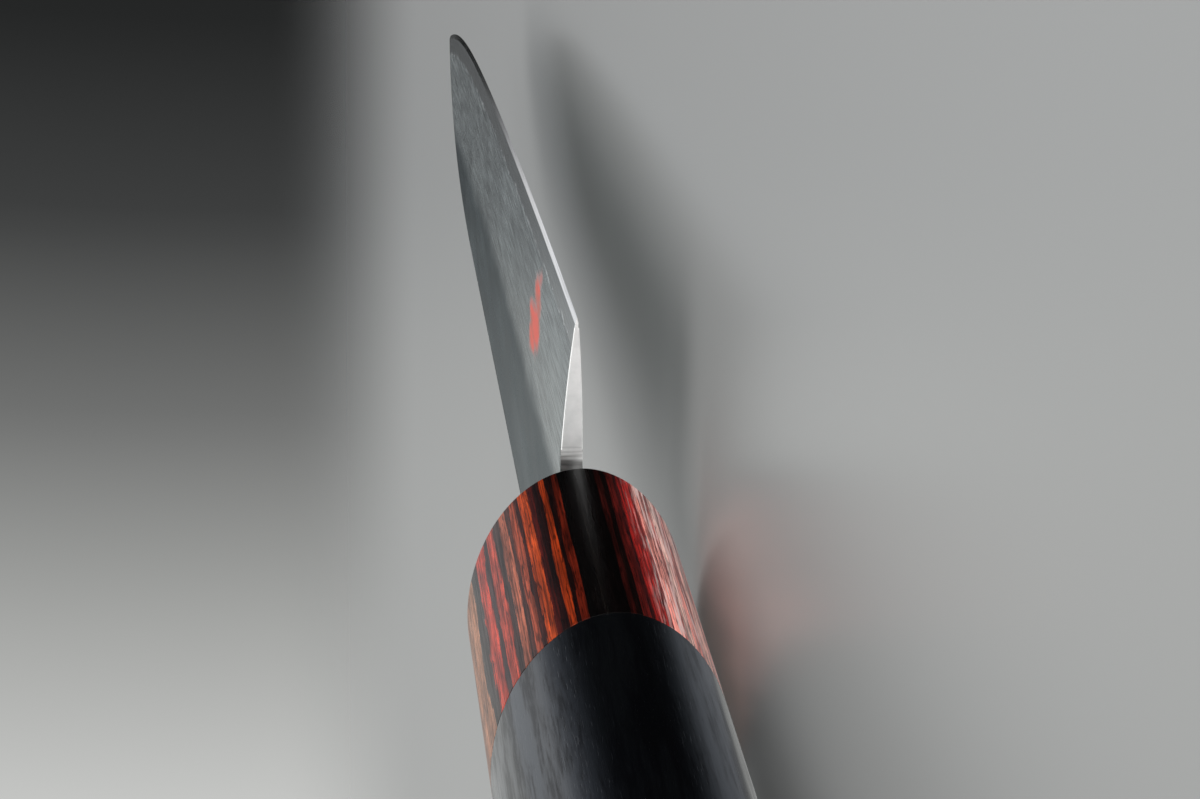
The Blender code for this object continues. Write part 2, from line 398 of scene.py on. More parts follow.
@dataclass(frozen=True)
class LaminatedSteel(Finish):
    """Hard core steel between softer sides, ground on wet stones.

    The eye sees four zones on each face. The cutting bevel is a bright hairline. The core
    above it is polished and reflects like a dim mirror, up to a wavy line with bright specks
    where the softer steel starts. That steel is hazy from strokes that run almost along the
    blade. Above the grind the bar keeps its dark forging skin, whose soft sheen stays dim
    even at a glancing look. Real strokes are some hundredths of a millimetre wide, too fine
    to show, so they are drawn from 0.11 to 0.24 mm wide.
    """

    name: str = "laminated steel, stone ground"
    core_colours: Stops = ((0.38, "#989c9c"), (0.60, "#adb1b1"))
    side_colours: Stops = ((0.38, "#9da4a4"), (0.52, "#aab2b2"), (0.64, "#bbc2c2"))
    pit_colours: Stops = ((0.38, "#8f9595"), (0.49, "#cdd2d2"), (0.62, "#eef0f0"))
    skin_colours: Stops = ((0.36, "#5f6567"), (0.52, "#6b7172"), (0.66, "#7a8082"))
    bevel_colours: Stops = ((0.36, "#d6d7d6"), (0.52, "#fafafa"))
    skin_glance: str = "#bbc0c2"
    speck_colour: str = "#f4f6f6"
    mark_colour: str = "#dc4122"
    mark_thin: str = "#b04a34"
    strokes: Grain = Grain((9.0, 0.12, 2.0), 3.0, turn=4.0)
    pits: Grain = Grain((7.0, 0.24, 2.0), 2.0, turn=3.0)
    polish: Grain = Grain((4.0, 0.11, 2.0), 2.0)
    clouds: Grain = Grain((26.0, 6.0, 6.0), 3.0)
    crust: Grain = Grain((9.0, 2.4, 3.0), 4.0)
    core_line: Grain = Grain((4.0, 4.0, 4.0), 4.0, span=(0.25, 0.75, 2.15 * MM, 2.75 * MM))
    grind_drift: Grain = Grain((15.0, 12.0, 12.0), 3.0, span=(0.3, 0.7, -0.9 * MM, 0.9 * MM))
    flakes: Grain = Grain((3.0, 0.5, 1.0), 3.0, span=(0.48, 0.62, 0.0, 1.0))
    mark_wear: Grain = Grain((6.0, 1.3, 1.0), 3.0, span=(0.3, 0.7, -0.6 * MM, 0.6 * MM))
    side_rough: Span = (0.35, 0.65, 0.17, 0.29)
    skin_rough: Span = (0.3, 0.7, 0.20, 0.30)
    core_rough: float = 0.18
    speck_rough: float = 0.45
    bevel_rough: float = 0.08
    mark_rough: float = 0.38
    bevel_fade: Span = (0.54 * MM, 0.56 * MM, 1.0, 0.0)
    side_fade: Span = (-0.05 * MM, 0.20 * MM)
    speck_fade: Span = (0.06 * MM, 0.26 * MM, 1.0, 0.0)
    speck_reach: Span = (20.0 * MM, 32.0 * MM)
    speck_share: Span = (0.9, 0.25)
    grind_height: float = 16.3 * MM
    grind_fall: float = 0.022
    grind_fade: Span = (-2.9 * MM, 0.7 * MM)
    mark_fade: Span = (-0.4 * MM, 1.5 * MM)
    mark_thins: Span = (0.45, 0.58)
    # middle and size of each bar in millimetres from the knife's origin
    mark_bars: tuple[tuple[Point, Point], ...] = (
        ((33.3, -14.7, 0.0), (6.0, 3.6, 0.0)), ((33.4, -11.3, 0.0), (9.6, 5.4, 0.0)),
    )
    mark_turn: float = 20.0
    mark_corner: float = 2.0 * MM
    polish_relief: float = 0.35
    relief: float = 0.003 * MM
    relief_strength: float = 0.4

    def inputs(self, nodes: Nodes) -> Inputs:
        """Lay core, sides, skin, bevel, specks and lacquer over each other.

        Args:
            nodes: Nodes of the material.

        Returns:
            What each input of the shader gets.
        """
        above = nodes.add("Attribute", out="Fac", attribute_name="above_edge")
        strokes, pits, polish, clouds, crust = (
            grain.lay(nodes) for grain in (self.strokes, self.pits, self.polish, self.clouds, self.crust)
        )
        over_line = nodes.add("Math", (above, self.core_line.lay(nodes)), operation="SUBTRACT")
        side = nodes.add("MapRange", (over_line, *self.side_fade), **SOFT)
        skin = self.skin_mask(nodes, above)
        bevel = nodes.add("MapRange", (above, *self.bevel_fade))
        speck = self.speck_mask(nodes, over_line)
        lacquer = self.lacquer_mask(nodes)
        core_paint, side_paint, pit_paint, skin_paint, bevel_paint = (
            nodes.add("ValToRGB", (pattern,), stops=stops)
            for pattern, stops in (
                (pits, self.core_colours), (clouds, self.side_colours), (pits, self.pit_colours),
                (clouds, self.skin_colours), (strokes, self.bevel_colours),
            )
        )
        hazy = nodes.add("Mix", {0: 1.0, 6: side_paint, 7: pit_paint}, **COLOURS, blend_type="MULTIPLY")
        thin = nodes.add("MapRange", (crust, *self.mark_thins))
        red = nodes.add("Mix", {0: thin, 6: linear(self.mark_colour), 7: linear(self.mark_thin)}, **COLOURS)
        colour, rough = core_paint, self.core_rough
        for mask, paint, level in (
            (side, hazy, nodes.add("MapRange", (strokes, *self.side_rough))),
            (skin, skin_paint, nodes.add("MapRange", (crust, *self.skin_rough))),
            (speck, linear(self.speck_colour), self.speck_rough),
            (bevel, bevel_paint, self.bevel_rough),
            (lacquer, red, self.mark_rough),
        ):
            colour = nodes.add("Mix", {0: mask, 6: colour, 7: paint}, **COLOURS)
            rough = nodes.add("Mix", {0: mask, 2: rough, 3: level})
        height = nodes.add("Math", (polish, self.polish_relief), operation="MULTIPLY")
        cut = nodes.add("Math", (strokes, pits), operation="ADD")
        for mask, relief in ((side, cut), (skin, crust)):
            height = nodes.add("Mix", {0: mask, 2: height, 3: relief})
        return {
            "Base Color": colour,
            "Metallic": nodes.add("Math", (1.0, lacquer), operation="SUBTRACT"),
            "Roughness": rough,
            "Specular Tint": nodes.add(
                "Mix", {0: skin, 6: linear("#ffffff"), 7: linear(self.skin_glance)}, **COLOURS,
            ),
            "Normal": nodes.add(
                "Bump",
                {"Height": height, "Strength": self.relief_strength, "Distance": self.relief},
            ),
        }

    def skin_mask(self, nodes: Nodes, above: Socket) -> Socket:
        """Mask of the forging skin, which fades out over a soft, uneven grind line.

        Args:
            nodes: Nodes of the material.
            above: Distance from the cutting edge.

        Returns:
            An output that is one where the skin is left.
        """
        moved = nodes.add("Math", (above, self.grind_drift.lay(nodes)), operation="ADD")
        x = nodes.add("SeparateXYZ", (nodes.place,), out="X")
        level = nodes.add("Math", (x, self.grind_fall, moved), operation="MULTIPLY_ADD")
        start = self.grind_height + self.grind_fall * KNIFE_ORIGIN.x
        return nodes.add("MapRange", (level, *[start + reach for reach in self.grind_fade]), **SOFT)

    def speck_mask(self, nodes: Nodes, over_line: Socket) -> Socket:
        """Mask of bright specks along the line between core and sides, clearest near the heel.

        Args:
            nodes: Nodes of the material.
            over_line: Distance above that line.

        Returns:
            An output that is one on a speck.
        """
        off_line = nodes.add("Math", (over_line,), operation="ABSOLUTE")
        band = nodes.add("MapRange", (off_line, *self.speck_fade))
        x = nodes.add("SeparateXYZ", (nodes.place,), out="X")
        reach = [KNIFE_ORIGIN.x + end for end in self.speck_reach]
        clear = nodes.add("MapRange", (x, *reach, *self.speck_share))
        speck = nodes.add("Math", (self.flakes.lay(nodes), band), operation="MULTIPLY")
        return nodes.add("Math", (speck, clear), operation="MULTIPLY")

    def lacquer_mask(self, nodes: Nodes) -> Socket:
        """Mask of two plain worn bars of red lacquer on the side that faces up.

        Args:
            nodes: Nodes of the material.

        Returns:
            An output that is one where lacquer is left.
        """
        insides = []
        for centre, size in self.mark_bars:
            middle = KNIFE_ORIGIN + Vector(centre) * MM
            moved = nodes.add("VectorMath", (nodes.place, middle), operation="SUBTRACT")
            turned = nodes.add(
                "VectorRotate", {"Vector": moved, "Angle": -math.radians(self.mark_turn)},
                rotation_type="Z_AXIS",
            )
            across = nodes.add("VectorMath", (turned,), operation="ABSOLUTE")
            inset = nodes.add("VectorMath", (Vector(size) * MM / 2, across), operation="SUBTRACT")
            x, y, _ = nodes.add("SeparateXYZ", (inset,)).node.outputs
            insides.append(nodes.add("Math", (x, y, self.mark_corner), operation="SMOOTH_MIN"))
        either = nodes.add("Math", insides, operation="MAXIMUM")
        worn = nodes.add("Math", (either, self.mark_wear.lay(nodes)), operation="ADD")
        painted = nodes.add("MapRange", (worn, *self.mark_fade), **SOFT)
        z = nodes.add("SeparateXYZ", (nodes.place,), out="Z")
        upper = nodes.add("Math", (z, KNIFE_ORIGIN.z), operation="GREATER_THAN")
        return nodes.add("Math", (painted, upper), operation="MULTIPLY")


@dataclass(frozen=True)
class GroundSteel(Finish):
    """Steel dressed on a belt across its thickness, as on spine, heel and neck.

    It is bright and satin. The belt's lines run across, so highlights are drawn out along the
    blade's outline. In the hollow of the heel a coarser belt has left lines that the eye sees.
    Where the neck goes into the handle its colour is made darker, as a painted reflection of
    the dark ferrule that the curved neck mirrors. Fine lines of a belt are
    too narrow to show, so they are drawn 0.1 mm wide.
    """

    name: str = "steel, belt ground across"
    clean_colours: Stops = ((0.30, "#eaebea"), (0.60, "#fbfbfa"))
    scored_colours: Stops = ((0.34, "#a5a6a5"), (0.50, "#ededec"), (0.66, "#ffffff"))
    fine: Grain = Grain((0.10, 0.10, 3.0), 2.0)
    coarse: Grain = Grain((0.26, 0.26, 5.0), 3.0)
    stains: Grain = Grain((2.0, 2.0, 2.0), 4.0)
    hollow_reach: Span = (-11.4 * MM, -9.6 * MM)
    # where the neck's colour is made darker as a painted reflection of the dark ferrule, and how dark
    painted_shade_reach: Span = (-10.05 * MM, -9.5 * MM)
    painted_shade_share: Span = (1.0, 0.24)
    rough: Span = (0.3, 0.7, 0.46, 0.56)
    relief: float = 0.004 * MM
    relief_strength: float = 0.25
    anisotropy: float = 0.75

    def inputs(self, nodes: Nodes) -> Inputs:
        """Lay the belt's lines and the scale.

        Args:
            nodes: Nodes of the material.

        Returns:
            What each input of the shader gets.
        """
        y = nodes.add("SeparateXYZ", (nodes.place,), out="Y")
        hollow = nodes.add("MapRange", (y, *[KNIFE_ORIGIN.y + end for end in self.hollow_reach]))
        fine, coarse = self.fine.lay(nodes), self.coarse.lay(nodes)
        clean = nodes.add("ValToRGB", (self.stains.lay(nodes),), stops=self.clean_colours)
        scored = nodes.add("ValToRGB", (coarse,), stops=self.scored_colours)
        lined = nodes.add("Mix", {0: hollow, 6: clean, 7: scored}, **COLOURS, blend_type="MULTIPLY")
        # painted reflection: the neck is made darker towards the ferrule, in place of the dark ferrule that
        # it mirrors
        reach = [KNIFE_ORIGIN.y + end for end in self.painted_shade_reach]
        scale = nodes.add("MapRange", (y, *reach, *self.painted_shade_share))
        height = nodes.add("Mix", {0: hollow, 2: fine, 3: coarse})
        return {
            "Base Color": nodes.add("VectorMath", {0: lined, "Scale": scale}, operation="SCALE"),
            "Roughness": nodes.add("MapRange", (fine, *self.rough)),
            "Normal": nodes.add(
                "Bump",
                {"Height": height, "Strength": self.relief_strength, "Distance": self.relief},
            ),
            "Tangent": nodes.add("Tangent", direction_type="RADIAL", axis="Z"),
            "Metallic": 1.0,
            "Anisotropic": self.anisotropy,
        }


@dataclass(frozen=True)
class VeneerLaminate(Finish):
    """Dyed beech veneers under half a millimetre thick, pressed with resin and polished.

    On the handle's flanks the veneers show as long stripes in salmon, orange and red between
    dark ones, with fibrous borders. On the lower flank pale streaks are laid over the fibres as
    painted sheen, a painted highlight of the polish there. Beech fibres are some hundredths of
    a millimetre thick, too fine to show, so they are drawn 0.12 mm thick in bundles.
    """

    name: str = "veneer laminate, dyed and polished"
    # bottom of each veneer in millimetres from the middle, from the side that lies down to the
    # side that faces up, and its colour, in two parts because a ramp has 32 stops at most. The
    # lower flank's veneers are painted lighter, as painted light on that flank, and the middle
    # ones are made near black, as painted shade on the handle's edge side
    stack: Stops = (
        (-9.40, "#f0b8a8"), (-8.20, "#a04a40"), (-7.98, "#ea8c7c"), (-7.40, "#9c463c"),
        (-7.18, "#f2b4a4"), (-6.48, "#a04c42"), (-6.25, "#ea9082"), (-5.65, "#f4c0b2"),
        (-5.12, "#b0564a"), (-4.92, "#ec9486"), (-4.35, "#e88c7e"), (-3.90, "#84261f"),
        (-3.66, "#ac211a"), (-3.00, "#861712"), (-2.55, "#3a0c0a"), (-2.25, "#4c100c"),
        (-1.75, "#0e0403"), (-1.25, "#280806"), (-0.85, "#050202"), (0.70, "#0a0706"),
        (0.95, "#050303"), (2.10, "#4e1409"), (2.62, "#140504"), (3.00, "#842b0e"),
        (3.52, "#1c0706"), (3.90, "#4a100a"), (4.40, "#b4451c"), (5.02, "#3a120c"),
        (5.30, "#94422c"), (5.80, "#3e1912"), (6.06, "#a2563e"), (6.60, "#341812"),
    )
    outer_stack: Stops = (
        (6.55, "#341812"), (6.88, "#ae3c28"), (7.40, "#331110"), (7.66, "#c03a24"),
        (8.22, "#261512"), (8.50, "#ba7c5a"),
    )
    half_stack: float = 9.4
    # pale colour of the painted sheen, a painted highlight laid over the lower flank
    painted_sheen_colour: str = "#ecd2cd"
    border_wave: Grain = Grain((13.0, 5.0, 0.6), 2.0, span=(0.25, 0.75, -0.12 * MM, 0.12 * MM))
    border_fray: Grain = Grain((5.0, 0.30, 0.11), 4.0, span=(0.25, 0.75, -0.07 * MM, 0.07 * MM))
    fibre: Grain = Grain((7.0, 0.20, 0.12), 5.0)
    vessel: Grain = Grain((1.8, 0.14, 0.12), 1.0)
    soaked: Grain = Grain((6.0, 1.4, 0.9), 2.0, span=(0.40, 0.62, 0.56, 1.14))
    # streaks of the painted sheen on the lower flank
    painted_sheen_streaks: Grain = Grain((9.0, 0.45, 0.30), 4.0, turn=3.0, span=(0.50, 0.60, 0.0, 0.6))
    lower_flank: Span = (-2.8 * MM, -4.4 * MM)
    calm_shade: Span = (0.41, 0.62, 0.34, 1.14)
    wild_shade: Span = (0.42, 0.58, 0.30, 1.30)
    nick_shade: Span = (0.34, 0.42, 0.30, 1.0)
    rough: Span = (0.3, 0.7, 0.38, 0.24)
    relief: float = 0.012 * MM
    relief_strength: float = 0.5
    ior: float = 1.52
    gloss_level: float = 0.12

    def inputs(self, nodes: Nodes) -> Inputs:
        """Lay the stack, with fibres and vessels inside each veneer.

        Args:
            nodes: Nodes of the material.

        Returns:
            What each input of the shader gets.
        """
        nodes.place = nodes.add("Mapping", {"Vector": nodes.place, "Location": -KNIFE_ORIGIN})
        z = nodes.add("SeparateXYZ", (nodes.place,), out="Z")
        moved = z
        for border in (self.border_wave, self.border_fray):
            moved = nodes.add("Math", (moved, border.lay(nodes)), operation="ADD")
        fibre, vessel = self.fibre.lay(nodes), self.vessel.lay(nodes)
        lower = nodes.add("MapRange", (z, *self.lower_flank))
        calm = nodes.add("MapRange", (fibre, *self.calm_shade))
        wild = nodes.add("MapRange", (fibre, *self.wild_shade))
        tone = nodes.add("Mix", {0: lower, 2: calm, 3: wild})
        for shade in (self.soaked.lay(nodes), nodes.add("MapRange", (vessel, *self.nick_shade))):
            tone = nodes.add("Math", (tone, shade), operation="MULTIPLY")
        dyed = nodes.add("VectorMath", {0: self.stack_colour(nodes, moved), "Scale": tone}, operation="SCALE")
        # painted sheen: pale streaks over the lower flank's veneers, a painted highlight of its polish
        painted_sheen = nodes.add("Math", (self.painted_sheen_streaks.lay(nodes), lower), operation="MULTIPLY")
        groove = nodes.add("Math", (fibre, vessel), operation="ADD")
        return {
            "Base Color": nodes.add("Mix", {0: painted_sheen, 6: dyed, 7: linear(self.painted_sheen_colour)}, **COLOURS),
            "Roughness": nodes.add("MapRange", (fibre, *self.rough)),
            "Normal": nodes.add(
                "Bump",
                {"Height": groove, "Strength": self.relief_strength, "Distance": self.relief},
            ),
            "IOR": self.ior,
            "Specular IOR Level": self.gloss_level,
        }

    def stack_colour(self, nodes: Nodes, height: Socket) -> Socket:
        """Colour of the veneer at a height in the stack.

        Args:
            nodes: Nodes of the material.
            height: Distance from the middle of the stack.

        Returns:
            The colour output.
        """
        share = nodes.add("MapRange", (height, -self.half_stack * MM, self.half_stack * MM))
        ramps = []
        for stack in (self.stack, self.outer_stack):
            stops = [((low + self.half_stack) / (2 * self.half_stack), colour) for low, colour in stack]
            ramps.append(nodes.add("ValToRGB", (share,), stops=stops))
            ramps[-1].node.color_ramp.interpolation = "CONSTANT"
        # the outer ramp takes over at its first stop
        above = nodes.add("Math", (share, stops[0][0]), operation="GREATER_THAN")
        return nodes.add("Mix", {0: above, 6: ramps[0], 7: ramps[1]}, **COLOURS)


@dataclass(frozen=True)
class BlackWood(Finish):
    """Dense black hardwood, sanded fine and oiled.

    It is nearly black. What the eye sees is its sheen: cool grey, in long streaks and clouds
    where the oil has dried unevenly, over fine pores drawn out along the handle. The pores are
    drawn 0.12 mm wide, as real ones of that kind are.
    """

    name: str = "black hardwood, oiled"
    tones: Stops = ((0.395, "#020203"), (0.605, "#050607"))
    pore_colour: str = "#020203"
    sheen: str = "#d2dff0"
    streak: Grain = Grain((38.0, 1.7, 1.7), 4.0)
    cloud: Grain = Grain((11.0, 1.2, 1.2), 3.0)
    dust: Grain = Grain((2.6, 0.26, 0.26), 2.0)
    grain: Grain = Grain((5.0, 0.22, 0.22), 3.0)
    pore: Grain = Grain((1.6, 0.12, 0.12), 1.0, span=(0.26, 0.34, 0.0, 1.0))
    cloud_share: float = 0.5
    dust_share: float = 0.28
    oiled: Span = (0.455, 0.545, 0.22, 0.78)
    wide_rough: Span = (0.4, 0.6, 0.26, 0.15)
    fine_rough: Span = (0.3, 0.7, -0.03, 0.03)
    relief: float = 0.012 * MM
    relief_strength: float = 0.4
    ior: float = 1.5

    def inputs(self, nodes: Nodes) -> Inputs:
        """Lay streaks, clouds and pores.

        Args:
            nodes: Nodes of the material.

        Returns:
            What each input of the shader gets.
        """
        grain, pore = self.grain.lay(nodes), self.pore.lay(nodes)
        wide = nodes.add(
            "Mix", {0: self.cloud_share, 2: self.streak.lay(nodes), 3: self.cloud.lay(nodes)},
        )
        uneven = nodes.add("Mix", {0: self.dust_share, 2: wide, 3: self.dust.lay(nodes)})
        tone = nodes.add("ValToRGB", (wide,), stops=self.tones)
        roughs = [
            nodes.add("MapRange", (pattern, *span))
            for pattern, span in ((wide, self.wide_rough), (grain, self.fine_rough))
        ]
        height = nodes.add("Math", (grain, pore), operation="ADD")
        return {
            "Base Color": nodes.add("Mix", {0: pore, 6: linear(self.pore_colour), 7: tone}, **COLOURS),
            "Roughness": nodes.add("Math", roughs, operation="ADD"),
            "Normal": nodes.add(
                "Bump",
                {"Height": height, "Strength": self.relief_strength, "Distance": self.relief},
            ),
            "Specular IOR Level": nodes.add("MapRange", (uneven, *self.oiled)),
            "Specular Tint": linear(self.sheen),
            "IOR": self.ior,
        }


@dataclass(frozen=True)
class TurnedHardwood(Finish):
    """Pale close-grained hardwood, turned and left raw: matt, with darker rings along it."""

    name: str = "pale hardwood, turned"
    ring_colours: Stops = ((0.35, "#a37f50"), (0.6, "#c9a878"))
    rings: Grain = Grain((33.0, 1.1, 3.8), 4.0)
    rough: float = 0.7
    relief: float = 0.02 * MM
    relief_strength: float = 0.4

    def inputs(self, nodes: Nodes) -> Inputs:
        """Lay the rings.

        Args:
            nodes: Nodes of the material.

        Returns:
            What each input of the shader gets.
        """
        rings = self.rings.lay(nodes)
        return {
            "Base Color": nodes.add("ValToRGB", (rings,), stops=self.ring_colours),
            "Normal": nodes.add(
                "Bump",
                {"Height": rings, "Strength": self.relief_strength, "Distance": self.relief},
            ),
            "Roughness": self.rough,
        }


@dataclass(frozen=True)
class CastResin(Finish):
    """Amber resin, cast round the tang: glossy, with small pale clouds in it."""

    name: str = "cast resin, amber"
    colours: Stops = ((0.35, "#8a6428"), (0.7, "#b08a4c"))
    clouds_per_metre: float = 600.0
    cloud_detail: float = 3.0
    rough: Span = (0.0, 1.0, 0.2, 0.4)

    def inputs(self, nodes: Nodes) -> Inputs:
        """Lay the clouds.

        Args:
            nodes: Nodes of the material.

        Returns:
            What each input of the shader gets.
        """
        clouds = nodes.add(
            "TexNoise",
            {"Vector": nodes.place, "Scale": self.clouds_per_metre, "Detail": self.cloud_detail},
        )
        return {
            "Base Color": nodes.add("ValToRGB", (clouds,), stops=self.colours),
            "Roughness": nodes.add("MapRange", (clouds, *self.rough)),
        }


@dataclass(frozen=True)
class FloorPaint(Finish):
    """Pale satin paint of the studio floor, which runs out into the room far from the knife."""

    name: str = "painted studio floor, satin"
    colour: str = "#9a9b9a"
    rough: float = 0.32
    ior: float = 1.7
    fade: Span = (0.36, 3.6)

    def inputs(self, nodes: Nodes) -> Inputs:
        """Let the floor run out with the distance from the knife.

        Args:
            nodes: Nodes of the material.

        Returns:
            What each input of the shader gets.
        """
        reach = nodes.add("VectorMath", (nodes.place,), out="Value", operation="LENGTH")
        closeness = nodes.add("Math", (1.0, reach), operation="DIVIDE")
        near, far = self.fade
        return {
            "Base Color": linear(self.colour),
            "Roughness": self.rough,
            "IOR": self.ior,
            "Alpha": nodes.add("MapRange", (closeness, 1.0 / far, 1.0 / near), **SOFT),
        }


# Pieces


@dataclass
class Blade:
    """Blade, neck and tang, ground on both sides, as one forging."""

    length: float = 0.150
    height: float = 0.0301
    tip_height: float = 0.0110
    edge_slope_drop: float = 0.0102
    tip_belly_drop: float = 0.0040
    tip_belly_power: float = 8.0
    spine_drop_length: float = 0.052
    spine_drop_power: float = 2.4
    spine_offset: float = 0.00805
    spine_thickness: float = 0.0019
    tip_thickness: float = 0.0011
    spine_ease: float = 0.0003
    grind_height: float = 0.0163
    bevel_height: float = 0.00055
    bevel_thickness: float = 0.00032
    tip_share: float = 0.25
    nick_share: float = 0.3
    neck_length: float = 0.0073
    neck_height: float = 0.0136
    heel_radius: float = 0.0050
    neck_seat: float = 0.0040
    spine_shoulder: float = 0.00355
    edge_shoulder: float = 0.00105
    tang_length: float = 0.090
    tang_end_height: float = 0.0050
    tang_end_thickness: float = 0.0015
    heel_chamfer: float = 0.00006
    neck_columns: int = 14
    radius_columns: int = 26
    blade_columns: int = 240
    tip_crowding: float = 1.6
    ease_rows: int = 3
    tang_rows: tuple[int, int] = (8, 18)
    corner_row: int = 24
    grind_rows: int = 34
    bevel_rows: int = 1
    smooth_angle: float = 32.0
    line_slack: float = 2e-6
    tang_slack: float = 1e-5
    wall_merge: float = 1e-7
    wall_normal: float = 0.75
    faces: Finish = field(default_factory=LaminatedSteel)
    dressed: Finish = field(default_factory=GroundSteel)

    @property
    def last_row(self) -> int:
        """Row of points on the cutting edge."""
        return self.corner_row + self.grind_rows + self.bevel_rows

    @property
    def heel_column(self) -> int:
        """Column of points down the heel's flat face."""
        return self.neck_columns + self.radius_columns

    @property
    def last_column(self) -> int:
        """Column of points at the tip."""
        return self.heel_column + 1 + self.blade_columns

    @property
    def neck_bottom(self) -> float:
        """Underside of the neck."""
        return self.spine_offset - self.neck_height

    @property
    def corner_height(self) -> float:
        """Distance from the spine to where the heel's radius ends."""
        return self.neck_height + self.heel_radius

    def top_at(self, share: float) -> float:
        """Place of the spine.

        Args:
            share: Share of the blade's length, from heel to tip.

        Returns:
            Its Y there.
        """
        run = self.length * share - (self.length - self.spine_drop_length)
        drop = self.tip_height * (max(run, 0.0) / self.spine_drop_length) ** self.spine_drop_power
        return self.spine_offset - drop

    def edge_at(self, share: float) -> float:
        """Place of the cutting edge.

        Args:
            share: Share of the blade's length, from heel to tip.

        Returns:
            Its Y there.
        """
        belly = self.height - self.tip_height - self.edge_slope_drop - self.tip_belly_drop
        rise = self.edge_slope_drop * share + belly * share**2
        rise += self.tip_belly_drop * share**self.tip_belly_power
        return self.spine_offset - self.height + rise

    def bevel_at(self, share: float) -> float:
        """Place where the cutting bevel starts, lower near the tip, where the blade is low."""
        top, edge = self.top_at(share), self.edge_at(share)
        return edge + min(self.bevel_height, (top - edge) * self.tip_share)

    def half_thickness(self, share: float, above_edge: float) -> float:
        """Half the blade's thickness.

        Args:
            share: Share of the blade's length, from heel to tip.
            above_edge: Distance from the cutting edge towards the spine.

        Returns:
            Distance from the blade's middle plane to its face.
        """
        if above_edge < self.bevel_height:
            return self.bevel_thickness * above_edge / self.bevel_height / 2
        full = mix_value(self.spine_thickness, self.tip_thickness, share)
        ground = min((above_edge - self.bevel_height) / (self.grind_height - self.bevel_height), 1.0)
        return mix_value(self.bevel_thickness, full, 1.0 - (1.0 - ground) ** 2) / 2

    def blade_point(self, share: float, row: int, nick: float = 0.0) -> Vector:
        """Point of the ground blade.

        Args:
            share: Share of the blade's length, from heel to tip.
            row: Row of the point, counted from the spine.
            nick: How far the face is chamfered back there.

        Returns:
            The point on the side that faces up.
        """
        top, edge = self.top_at(share), self.edge_at(share)
        height = top - edge
        full = self.half_thickness(share, height)
        ease = min(self.spine_ease, height * self.tip_share, full / 2)
        corner = top - height * self.corner_height / self.height
        bevel = self.bevel_at(share)
        x = self.neck_length + self.length * share
        if row <= self.ease_rows:
            turn = math.pi / 2 * row / self.ease_rows
            return Vector((x, top - ease * (1 - math.cos(turn)), full - ease * (1 - math.sin(turn))))
        if row <= self.corner_row:
            down = (row - self.ease_rows) / (self.corner_row - self.ease_rows)
            y = mix_value(top - ease, corner, down)
        elif row <= self.corner_row + self.grind_rows:
            y = mix_value(corner, bevel, (row - self.corner_row) / self.grind_rows)
        else:
            y = mix_value(bevel, edge, (row - self.corner_row - self.grind_rows) / self.bevel_rows)
        half = self.half_thickness(share, y - edge)
        return Vector((x, y, half - min(nick, half * self.nick_share)))

    def neck_level(self, row: int) -> float:
        """Place of a row on the plain neck, with rows that match the tang's two edges.

        Args:
            row: Row, counted from the spine.

        Returns:
            Its Y.
        """
        top, bottom = self.spine_offset, self.neck_bottom
        first, last = self.tang_rows
        stops = [
            (self.ease_rows, top - self.spine_ease),
            (first, top - self.spine_shoulder),
            (last, bottom + self.edge_shoulder),
            (self.corner_row - 1, bottom + self.heel_chamfer),
            (self.corner_row, bottom),
        ]
        for (row_a, y_a), (row_b, y_b) in zip(stops, stops[1:]):
            if row <= row_b:
                return mix_value(y_a, y_b, (row - row_a) / (row_b - row_a))
        return bottom

    def neck_point(self, x: float, bottom: float, share: float, row: int) -> Vector:
        """Point of the neck or of the heel's hollow radius.

        Args:
            x: Place along the handle's axis.
            bottom: Underside of the steel there.
            share: One on the plain neck, zero at the heel.
            row: Row of the point, counted from the spine.

        Returns:
            The point on the side that faces up.
        """
        heel = self.blade_point(0.0, row)
        if row <= self.ease_rows:
            return Vector((x, heel.y, heel.z))
        reach = (self.spine_offset - bottom) / self.corner_height
        y = mix_value(self.spine_offset - (self.spine_offset - heel.y) * reach, self.neck_level(row), share)
        half = mix_value(heel.z, self.spine_thickness / 2, share)
        if row == self.corner_row:
            half -= self.heel_chamfer
        elif row == self.corner_row - 1:
            y = bottom + self.heel_chamfer
        return Vector((x, y, half))

    def point(self, column: int, row: int) -> Vector:
        """Point of the grid.

        Args:
            column: Its column, counted from the neck's rear end.
            row: Its row, counted from the spine.

        Returns:
            The point on the side that faces up.
        """
        if column < self.neck_columns:
            neck_end = self.neck_length - self.heel_radius
            x = mix_value(-self.neck_seat, neck_end, column / self.neck_columns)
            return self.neck_point(x, self.neck_bottom, 1.0, row)
        if column < self.heel_column:
            turn = math.pi / 2 * (1 - (column - self.neck_columns) / self.radius_columns)
            x = self.neck_length - self.heel_radius * (1 - math.cos(turn))
            bottom = self.neck_bottom - self.heel_radius * (1 - math.sin(turn))
            return self.neck_point(x, bottom, turn / (math.pi / 2), row)
        if column == self.heel_column:
            place = self.blade_point(0.0, row, self.heel_chamfer if row >= self.corner_row else 0.0)
            if row == self.corner_row - 1:
                place.y = self.spine_offset - self.corner_height + self.heel_chamfer
            return place
        step = (column - self.heel_column - 1) / self.blade_columns
        start = self.heel_chamfer / self.length
        return self.blade_point(start + (1 - start) * (1 - (1 - step) ** self.tip_crowding), row)

